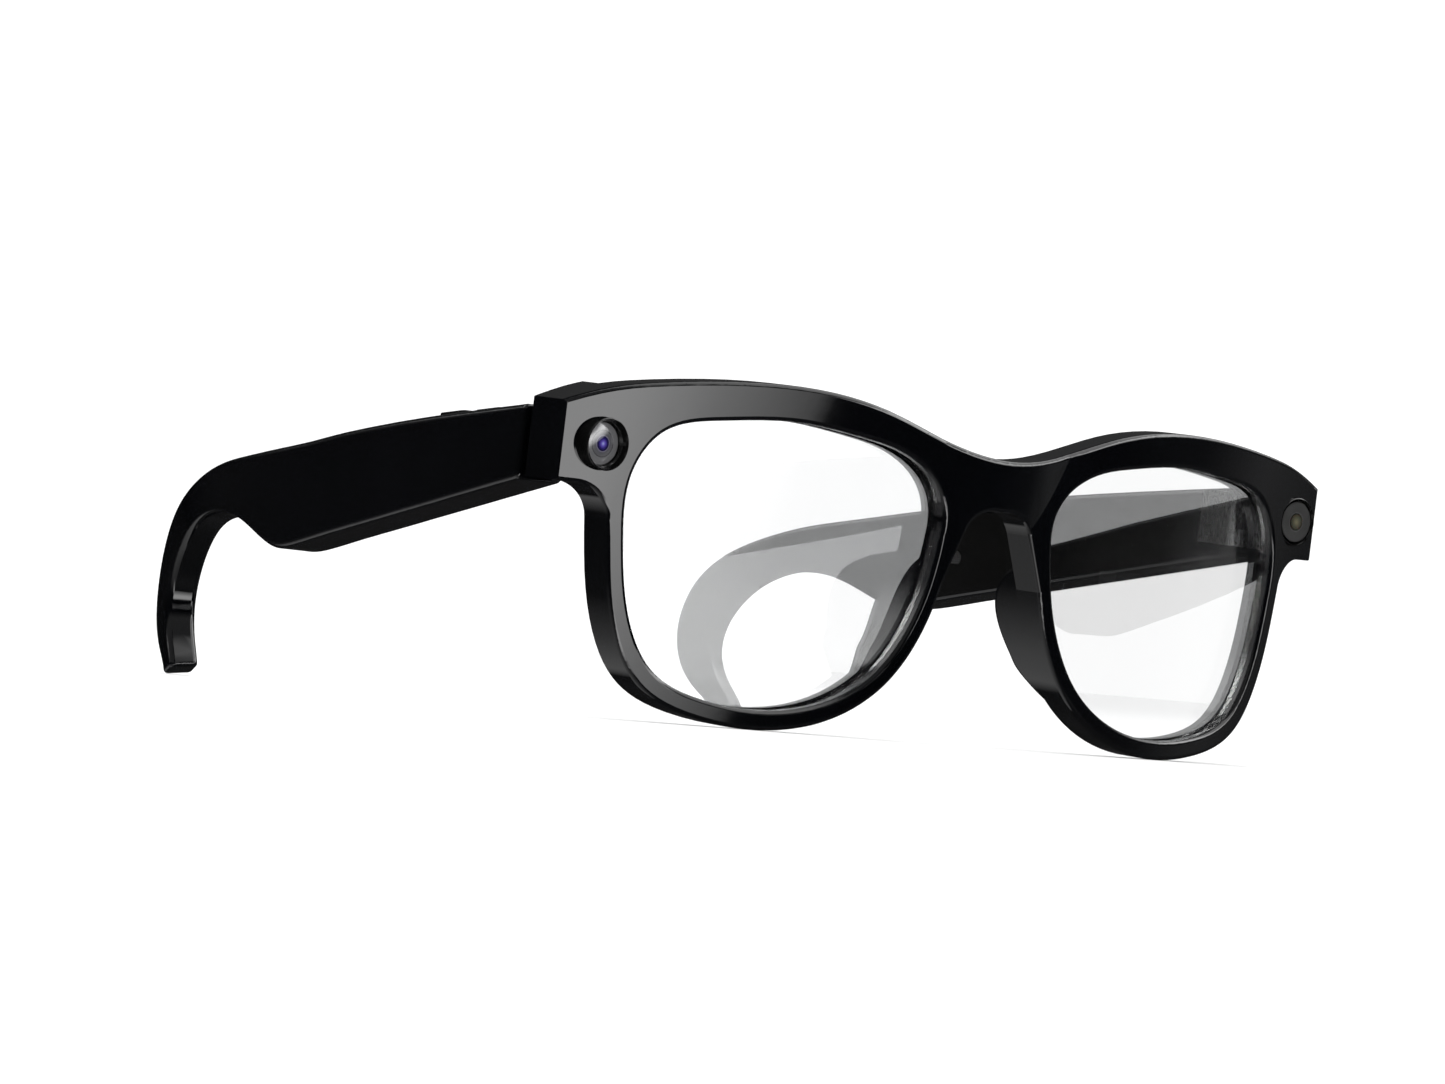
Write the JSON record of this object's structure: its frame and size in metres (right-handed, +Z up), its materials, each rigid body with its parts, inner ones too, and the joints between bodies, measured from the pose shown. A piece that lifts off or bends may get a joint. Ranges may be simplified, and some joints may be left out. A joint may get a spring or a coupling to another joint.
{
  "type": "smart glasses",
  "caption": "Smart glasses: wrap front with clear lenses, camera and light modules in the end pieces, folding temples with electronics, speakers and buttons.",
  "frame": {"origin": "centre of the bounding box, on the surface the glasses rest on", "axes": "+X across the front towards the wearer's left, +Y from the front towards the ears, +Z up"},
  "size_m": [0.148, 0.1314, 0.0485],
  "materials": {
    "frame_black": "polished",
    "lid_black": "polished, slightly softer gloss",
    "button_black": "polished",
    "lens_clear": "clear, faint cool tint",
    "ring_black": "polished",
    "camera_glass": "coated",
    "barrel_black": "matte",
    "light_window_grey": "satin",
    "light_lens_amber": "translucent",
    "circuit_board": "solder mask",
    "flex_cable": "film",
    "hinge_steel": "brushed",
    "screw_steel": "plain",
    "pin_steel": "turned",
    "battery_foil": "satin foil",
    "speaker_black": "matte",
    "mesh_steel": "blackened mesh",
    "switch_metal": "plain",
    "contact_gold": "gold plated"
  },
  "bodies": {
    "front": {"front_frame": "frame_black", "brow_cover": "frame_black", "front_flex": "flex_cable", "lens_left": "lens_clear", "lens_right": "lens_clear", "nose_pad_left": "frame_black", "nose_pad_right": "frame_black", "camera_ring": "ring_black", "camera_lens": "camera_glass", "camera_barrel": "barrel_black", "camera_board": "circuit_board", "light_ring": "ring_black", "light_window": "light_window_grey", "light_lens": "light_lens_amber", "light_board": "circuit_board", "hinge_front_leaf_left": "hinge_steel", "hinge_front_leaf_right": "hinge_steel", "hinge_front_screws": "screw_steel", "hinge_pins": "pin_steel"},
    "temple_left": {"temple_left_shell": "frame_black", "temple_left_lid": "lid_black", "battery_left": "battery_foil", "board_left": "circuit_board", "speaker_left": "speaker_black", "speaker_mesh_left": "mesh_steel", "hinge_temple_leaf_left": "hinge_steel", "hinge_temple_screws_left": "screw_steel"},
    "temple_right": {"temple_right_shell": "frame_black", "temple_right_lid": "lid_black", "battery_right": "battery_foil", "board_right": "circuit_board", "speaker_right": "speaker_black", "speaker_mesh_right": "mesh_steel", "button_switches": "switch_metal", "charge_contacts": "contact_gold", "hinge_temple_leaf_right": "hinge_steel", "hinge_temple_screws_right": "screw_steel"},
    "capture_button": {"capture_button": "button_black"},
    "mode_button": {"mode_button": "button_black"}
  },
  "joints": [
    {"name": "temple_left_hinge", "type": "hinge", "parent": "front", "child": "temple_left", "pos_m": [0.0642, -0.0469, 0.03716], "axis": [0, -0.0543, 0.9985], "range_deg": [0, 82]},
    {"name": "temple_right_hinge", "type": "hinge", "parent": "front", "child": "temple_right", "pos_m": [-0.0642, -0.0469, 0.03716], "axis": [0, 0.0543, -0.9985], "range_deg": [0, 70]},
    {"name": "capture_button_press", "type": "slide", "parent": "temple_right", "child": "capture_button", "axis": [-0.0173, -0.0725, -0.9972], "range_m": [0, 0.0003], "stiffness_N_per_m": 3000, "springref_m": -0.0002},
    {"name": "mode_button_press", "type": "slide", "parent": "temple_right", "child": "mode_button", "axis": [-0.0173, -0.0725, -0.9972], "range_m": [0, 0.0003], "stiffness_N_per_m": 3000, "springref_m": -0.0002}
  ]
}
